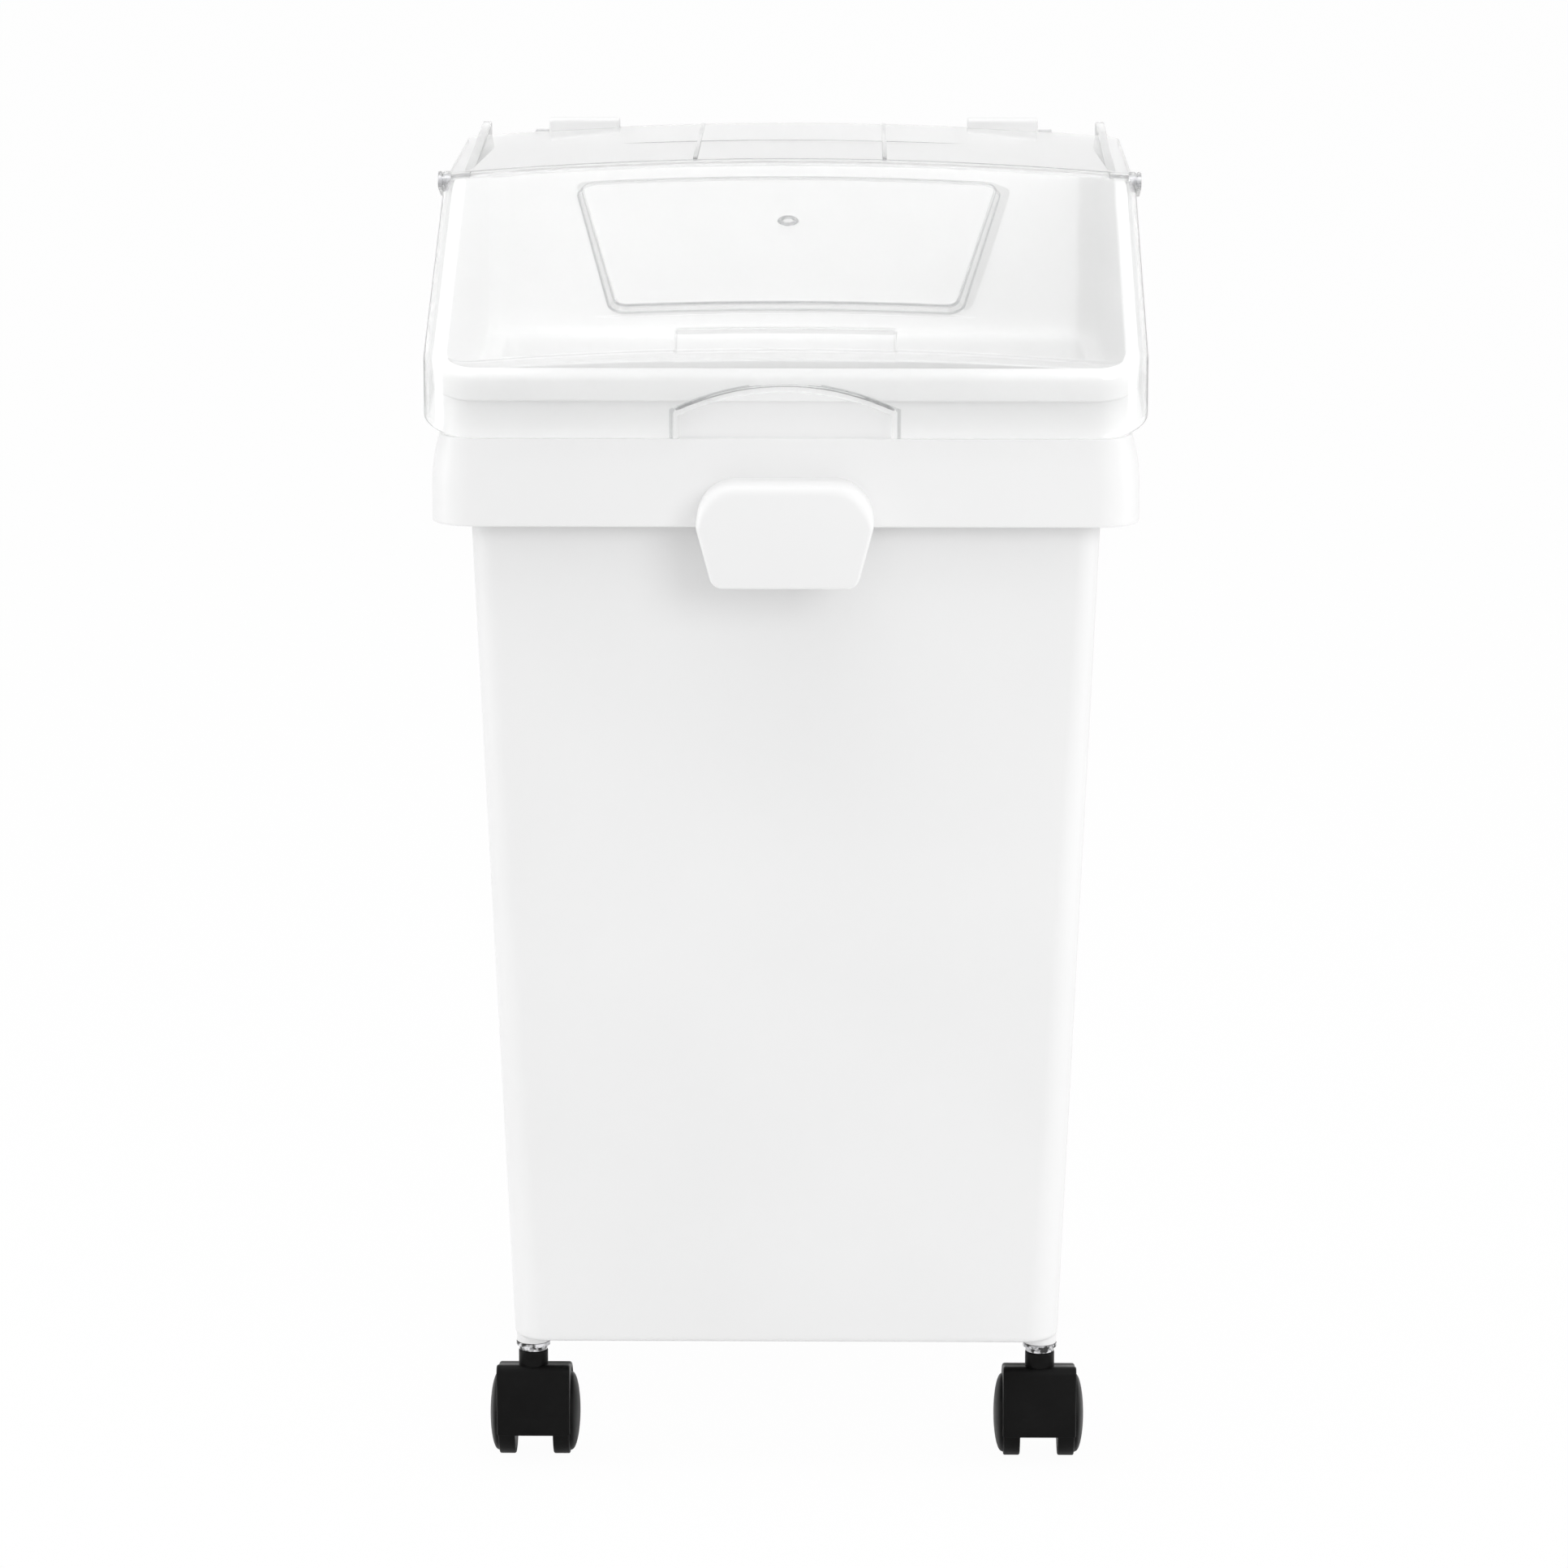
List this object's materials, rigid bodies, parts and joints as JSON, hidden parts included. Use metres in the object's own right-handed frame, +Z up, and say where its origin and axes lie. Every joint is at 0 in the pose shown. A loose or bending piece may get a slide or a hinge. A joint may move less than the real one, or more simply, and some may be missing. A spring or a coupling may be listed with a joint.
{
  "type": "rice bin",
  "caption": "Tall mobile food storage bin with a tapered white tub, a clear rear cover and a sloping clear lid that flips up, on twin-wheel swivel casters.",
  "frame": {"origin": "on the floor, under the middle of the tub's plan", "axes": "+Z up, +Y towards the hinges at the back, -Y the front with the cup handle, +X to the right as seen from the front"},
  "size_m": [0.41, 0.466, 0.747],
  "materials": {
    "tub_white": "satin moulded polyethylene",
    "clear_lid": "clear gloss polycarbonate",
    "caster_black": "satin moulded nylon",
    "wheel_black": "satin moulded nylon tread",
    "washer_chrome": "bright zinc plate",
    "steel": "zinc-plated steel"
  },
  "bodies": {
    "base": {"tub": "tub_white", "left_hinge_pin": "steel", "right_hinge_pin": "steel", "front_left_caster_stem": "steel", "front_right_caster_stem": "steel", "rear_left_caster_stem": "steel", "rear_right_caster_stem": "steel", "outer_washers": "washer_chrome", "inner_washers": "steel", "stem_nuts": "steel"},
    "rear_cover": {"rear_cover": "clear_lid", "left_lid_pivot_pin": "steel", "right_lid_pivot_pin": "steel"},
    "flip_lid": {"flip_lid": "clear_lid"},
    "front_left_caster": {"front_left_caster_frame": "caster_black", "front_left_axle": "steel"},
    "front_right_caster": {"front_right_caster_frame": "caster_black", "front_right_axle": "steel"},
    "rear_left_caster": {"rear_left_caster_frame": "caster_black", "rear_left_axle": "steel"},
    "rear_right_caster": {"rear_right_caster_frame": "caster_black", "rear_right_axle": "steel"},
    "front_left_outer_wheel": {"front_left_outer_wheel": "wheel_black"},
    "front_left_inner_wheel": {"front_left_inner_wheel": "wheel_black"},
    "front_right_outer_wheel": {"front_right_outer_wheel": "wheel_black"},
    "front_right_inner_wheel": {"front_right_inner_wheel": "wheel_black"},
    "rear_left_outer_wheel": {"rear_left_outer_wheel": "wheel_black"},
    "rear_left_inner_wheel": {"rear_left_inner_wheel": "wheel_black"},
    "rear_right_outer_wheel": {"rear_right_outer_wheel": "wheel_black"},
    "rear_right_inner_wheel": {"rear_right_inner_wheel": "wheel_black"}
  },
  "joints": [
    {"name": "rear_cover_hinge", "type": "hinge", "parent": "base", "child": "rear_cover", "pos_m": [0, 0.222, 0.735], "axis": [-1, 0, 0], "range_deg": [0, 105]},
    {"name": "flip_lid_hinge", "type": "hinge", "parent": "rear_cover", "child": "flip_lid", "pos_m": [0, -0.002, 0.7335], "axis": [-1, 0, 0], "range_deg": [0, 120]},
    {"name": "front_left_swivel", "type": "hinge", "parent": "base", "child": "front_left_caster", "pos_m": [-0.14744, -0.14874, 0.06], "axis": [0, 0, 1], "continuous": true},
    {"name": "front_right_swivel", "type": "hinge", "parent": "base", "child": "front_right_caster", "pos_m": [0.14744, -0.14874, 0.06], "axis": [0, 0, 1], "continuous": true},
    {"name": "rear_left_swivel", "type": "hinge", "parent": "base", "child": "rear_left_caster", "pos_m": [-0.14144, 0.14874, 0.06], "axis": [0, 0, 1], "continuous": true},
    {"name": "rear_right_swivel", "type": "hinge", "parent": "base", "child": "rear_right_caster", "pos_m": [0.14144, 0.14874, 0.06], "axis": [0, 0, 1], "continuous": true},
    {"name": "front_left_outer_wheel_spin", "type": "hinge", "parent": "front_left_caster", "child": "front_left_outer_wheel", "pos_m": [-0.14744, -0.13074, 0.025], "axis": [1, 0, 0], "continuous": true},
    {"name": "front_left_inner_wheel_spin", "type": "hinge", "parent": "front_left_caster", "child": "front_left_inner_wheel", "pos_m": [-0.14744, -0.13074, 0.025], "axis": [1, 0, 0], "continuous": true},
    {"name": "front_right_outer_wheel_spin", "type": "hinge", "parent": "front_right_caster", "child": "front_right_outer_wheel", "pos_m": [0.14744, -0.13074, 0.025], "axis": [1, 0, 0], "continuous": true},
    {"name": "front_right_inner_wheel_spin", "type": "hinge", "parent": "front_right_caster", "child": "front_right_inner_wheel", "pos_m": [0.14744, -0.13074, 0.025], "axis": [1, 0, 0], "continuous": true},
    {"name": "rear_left_outer_wheel_spin", "type": "hinge", "parent": "rear_left_caster", "child": "rear_left_outer_wheel", "pos_m": [-0.14144, 0.16674, 0.025], "axis": [1, 0, 0], "continuous": true},
    {"name": "rear_left_inner_wheel_spin", "type": "hinge", "parent": "rear_left_caster", "child": "rear_left_inner_wheel", "pos_m": [-0.14144, 0.16674, 0.025], "axis": [1, 0, 0], "continuous": true},
    {"name": "rear_right_outer_wheel_spin", "type": "hinge", "parent": "rear_right_caster", "child": "rear_right_outer_wheel", "pos_m": [0.14144, 0.16674, 0.025], "axis": [1, 0, 0], "continuous": true},
    {"name": "rear_right_inner_wheel_spin", "type": "hinge", "parent": "rear_right_caster", "child": "rear_right_inner_wheel", "pos_m": [0.14144, 0.16674, 0.025], "axis": [1, 0, 0], "continuous": true}
  ]
}
